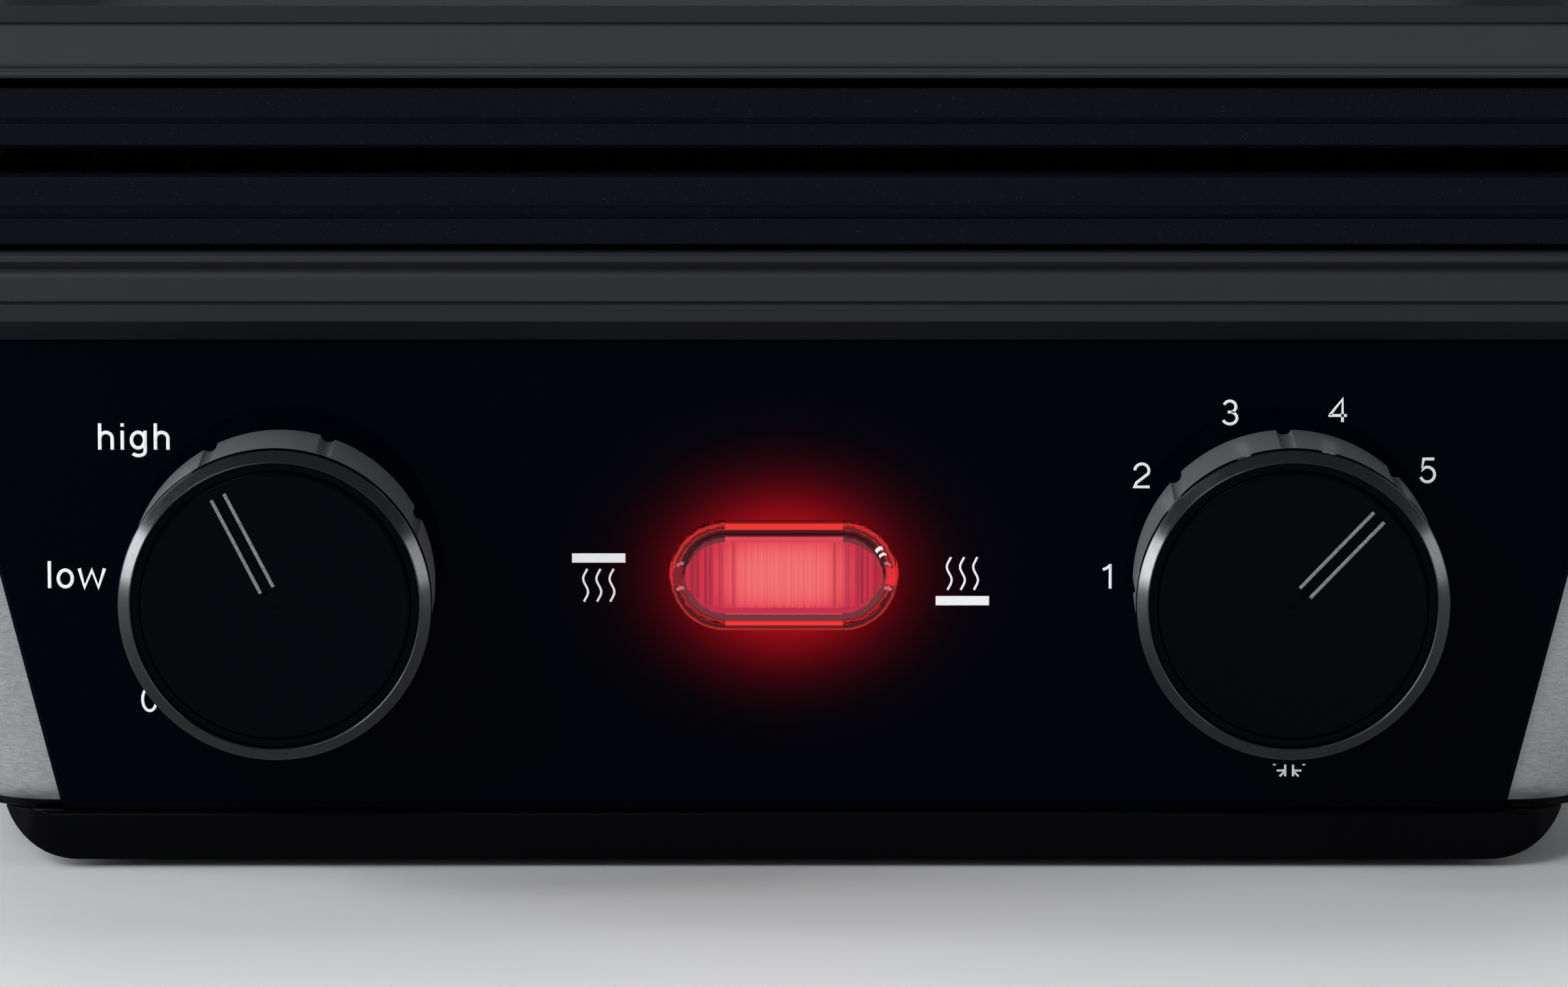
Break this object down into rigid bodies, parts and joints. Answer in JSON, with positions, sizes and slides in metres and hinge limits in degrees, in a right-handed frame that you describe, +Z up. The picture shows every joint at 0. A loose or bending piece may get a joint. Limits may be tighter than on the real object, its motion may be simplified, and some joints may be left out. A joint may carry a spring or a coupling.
{
  "type": "electric indoor grill",
  "caption": "Countertop electric grill with two ribbed plates and a floating lid that folds out flat; two dials, a lamp and a rear drip tray.",
  "frame": {"origin": "centre of the footprint at the level of the feet", "axes": "+X to the right of someone facing the controls, +Y to the back, +Z up; the controls face -Y"},
  "size_m": [0.346, 0.303, 0.202],
  "materials": {
    "silver_metal": "satin silver coat with a fine horizontal grain",
    "gloss_panel": "polished black",
    "black_moulding": "fine matt texture",
    "anthracite_trim": "satin anthracite moulding",
    "anthracite_rim": "satin anthracite coat on a casting",
    "nonstick": "speckled dark non-stick coat on a casting",
    "element_steel": "heat-darkened tube",
    "bright_sheet": "bright sheet",
    "cast_grey": "satin casting",
    "insulator": "cream insulating moulding",
    "zinc": "zinc-plated",
    "steel_rod": "turned rod",
    "rubber": "matt black",
    "knob_skirt": "satin dark grey",
    "knob_ring": "turned and chamfered",
    "knob_face": "polished black",
    "neon_glass": "clear glass",
    "button_red": "fine matt texture",
    "brushed_panel": "long brushed grain",
    "handle_steel": "fine brushed grain",
    "red_lens": "clear red, fluted, lit from behind"
  },
  "bodies": {
    "base": {"base_pan": "black_moulding", "rubber_feet": "rubber", "lower_housing": "silver_metal", "control_panel": "gloss_panel", "lower_trim_ring": "anthracite_trim", "lower_rim": "anthracite_rim", "lower_plate": "nonstick", "lower_element": "element_steel", "lower_element_clips": "bright_sheet", "lower_reflector": "bright_sheet", "drain_chute": "cast_grey", "left_thermostat": "insulator", "right_thermostat": "insulator", "thermostat_nuts": "zinc", "lamp_lens": "red_lens", "lamp_holder": "insulator", "neon_lamp": "neon_glass", "terminal_block": "insulator", "cord_inlet": "black_moulding", "left_hinge_post": "cast_grey", "right_hinge_post": "cast_grey", "hinge_post_screws": "zinc", "base_screws": "zinc"},
    "tray": {"drip_tray": "black_moulding"},
    "left_dial": {"left_knob": "knob_skirt", "left_knob_ring": "knob_ring", "left_knob_face": "knob_face", "left_shaft": "zinc"},
    "right_dial": {"right_knob": "knob_skirt", "right_knob_ring": "knob_ring", "right_knob_face": "knob_face", "right_shaft": "zinc"},
    "lower_lock": {"lower_plate_lock": "black_moulding"},
    "arms": {"left_arm": "cast_grey", "right_arm": "cast_grey", "left_arm_cover": "black_moulding", "right_arm_cover": "black_moulding", "arm_cover_screws": "zinc", "hinge_shaft": "steel_rod"},
    "flat_release": {"flat_release_button": "button_red"},
    "lid": {"lid_shell": "silver_metal", "lid_panel": "brushed_panel", "upper_trim_ring": "anthracite_trim", "upper_rim": "anthracite_rim", "upper_plate": "nonstick", "upper_element": "element_steel", "upper_element_clips": "bright_sheet", "upper_reflector": "bright_sheet", "thermal_fuse": "insulator", "lid_pins": "steel_rod", "handle_bar": "handle_steel", "left_handle_bracket": "black_moulding", "right_handle_bracket": "black_moulding", "handle_screws": "zinc"},
    "upper_lock": {"upper_plate_lock": "black_moulding"}
  },
  "joints": [
    {"name": "arm_hinge", "type": "hinge", "parent": "base", "child": "arms", "pos_m": [0, 0.1385, 0.10165], "axis": [-1, 0, 0], "range_deg": [0, 180]},
    {"name": "lid_tilt", "type": "hinge", "parent": "arms", "child": "lid", "pos_m": [0, 0.1085, 0.14765], "axis": [-1, 0, 0], "range_deg": [0, 8]},
    {"name": "left_dial_turn", "type": "hinge", "parent": "base", "child": "left_dial", "pos_m": [-0.0713, -0.1255, 0.0415], "axis": [0, -1, 0], "range_deg": [0, 105]},
    {"name": "right_dial_turn", "type": "hinge", "parent": "base", "child": "right_dial", "pos_m": [0.0713, -0.1255, 0.0415], "axis": [0, -1, 0], "range_deg": [-8, 223]},
    {"name": "drip_tray_slide", "type": "slide", "parent": "base", "child": "tray", "axis": [0, 1, 0], "range_m": [0, 0.08]},
    {"name": "lower_lock_slide", "type": "slide", "parent": "base", "child": "lower_lock", "axis": [0, 1, 0], "range_m": [0, 0.007]},
    {"name": "upper_lock_slide", "type": "slide", "parent": "lid", "child": "upper_lock", "axis": [0, 1, 0], "range_m": [0, 0.007]},
    {"name": "flat_release_press", "type": "slide", "parent": "arms", "child": "flat_release", "axis": [-1, 0, 0], "range_m": [0, 0.0025], "stiffness_N_per_m": 400}
  ]
}
